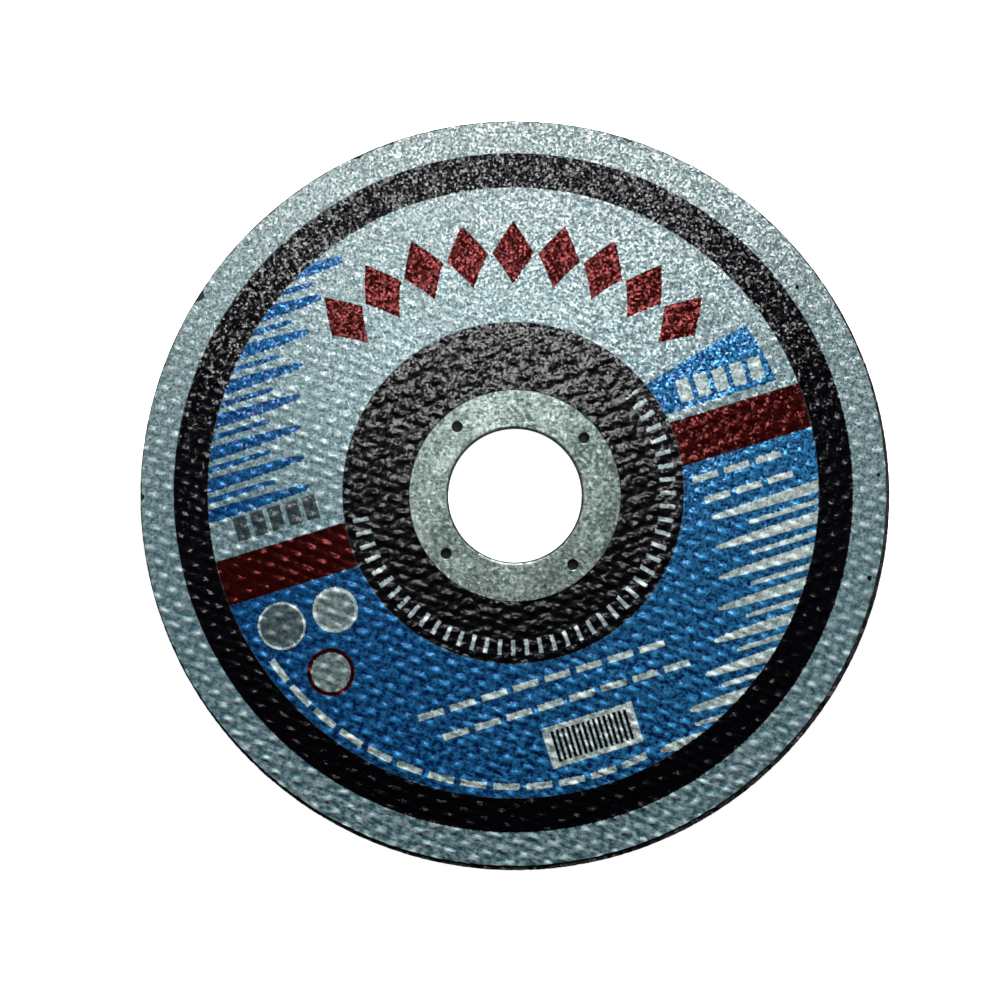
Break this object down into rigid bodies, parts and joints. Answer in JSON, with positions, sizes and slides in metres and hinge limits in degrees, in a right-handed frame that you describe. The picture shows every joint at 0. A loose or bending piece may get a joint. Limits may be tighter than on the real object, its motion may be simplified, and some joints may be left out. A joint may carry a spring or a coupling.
{
  "type": "cut off wheel",
  "caption": "Thin flat cut-off wheel for an angle grinder: pressed abrasive disc with a net-embossed printed label and a flanged steel bore ring.",
  "frame": {"origin": "on the bore axis, in the plane of the back face that the wheel lies on", "axes": "+Z along the bore axis, out of the labelled face; +X and +Y to the right and up as the label is seen"},
  "size_m": [0.125, 0.125, 0.0016],
  "materials": {
    "abrasive": "rough pressed grain in dark resin",
    "label": "silver-coated paper with satin print, embossed by the net",
    "ring_steel": "dull zinc plating, lightly scuffed"
  },
  "bodies": {
    "root": {"abrasive_disc": "abrasive", "face_label": "label", "centre_ring": "ring_steel"}
  },
  "joints": []
}
